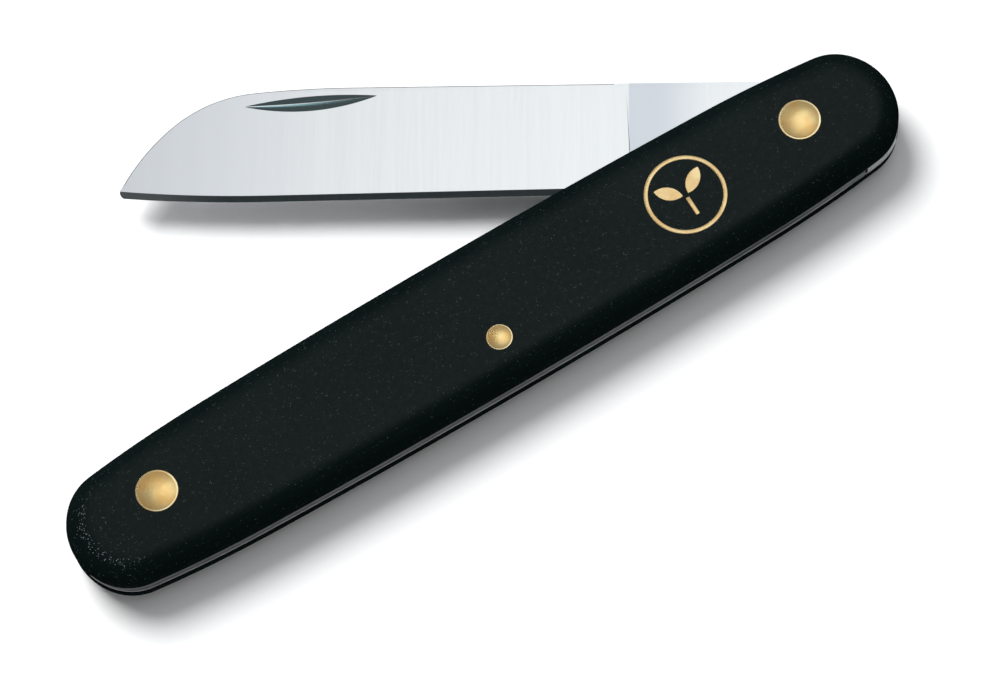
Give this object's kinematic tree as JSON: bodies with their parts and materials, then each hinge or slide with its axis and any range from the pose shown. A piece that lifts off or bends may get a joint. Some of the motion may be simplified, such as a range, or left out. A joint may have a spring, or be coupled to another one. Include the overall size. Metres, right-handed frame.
{
  "type": "folding grafting knife",
  "caption": "Folding grafting knife with a straight-edged blade and nail nick, a slipjoint back spring, steel liners and rounded plastic scales on domed brass rivets.",
  "frame": {"origin": "middle of the handle on the flat rear face, the face it rests on", "axes": "+X along the handle towards the pivot end, +Y towards the side the blade opens from, +Z out of the front face; the blade is part-way open at rest"},
  "size_m": [0.1, 0.0453, 0.0086],
  "materials": {
    "scale_plastic": "matte, finely textured glass-filled nylon, black",
    "liner_steel": "satin rolled stainless sheet",
    "spring_steel": "ground along its length",
    "blade_steel": "finely ground and polished stainless steel",
    "rivet_brass": "domed heads, lightly satin",
    "washer_brass": "polished",
    "emblem_gilt": "satin gilt inlay"
  },
  "bodies": {
    "handle": {"front_scale": "scale_plastic", "rear_scale": "scale_plastic", "front_liner": "liner_steel", "rear_liner": "liner_steel", "back_spring": "spring_steel", "pivot_rivet": "rivet_brass", "spring_rivet": "rivet_brass", "tail_rivet": "rivet_brass", "front_pivot_washer": "washer_brass", "front_spring_washer": "washer_brass", "front_tail_washer": "washer_brass", "rear_pivot_washer": "washer_brass", "rear_spring_washer": "washer_brass", "rear_tail_washer": "washer_brass", "emblem": "emblem_gilt"},
    "blade": {"blade": "blade_steel"}
  },
  "joints": [
    {"name": "blade_pivot", "type": "hinge", "parent": "handle", "child": "blade", "pos_m": [0.03925, 0.00072, 0.00405], "axis": [0, 0, -1], "range_deg": [-24, 149]}
  ]
}
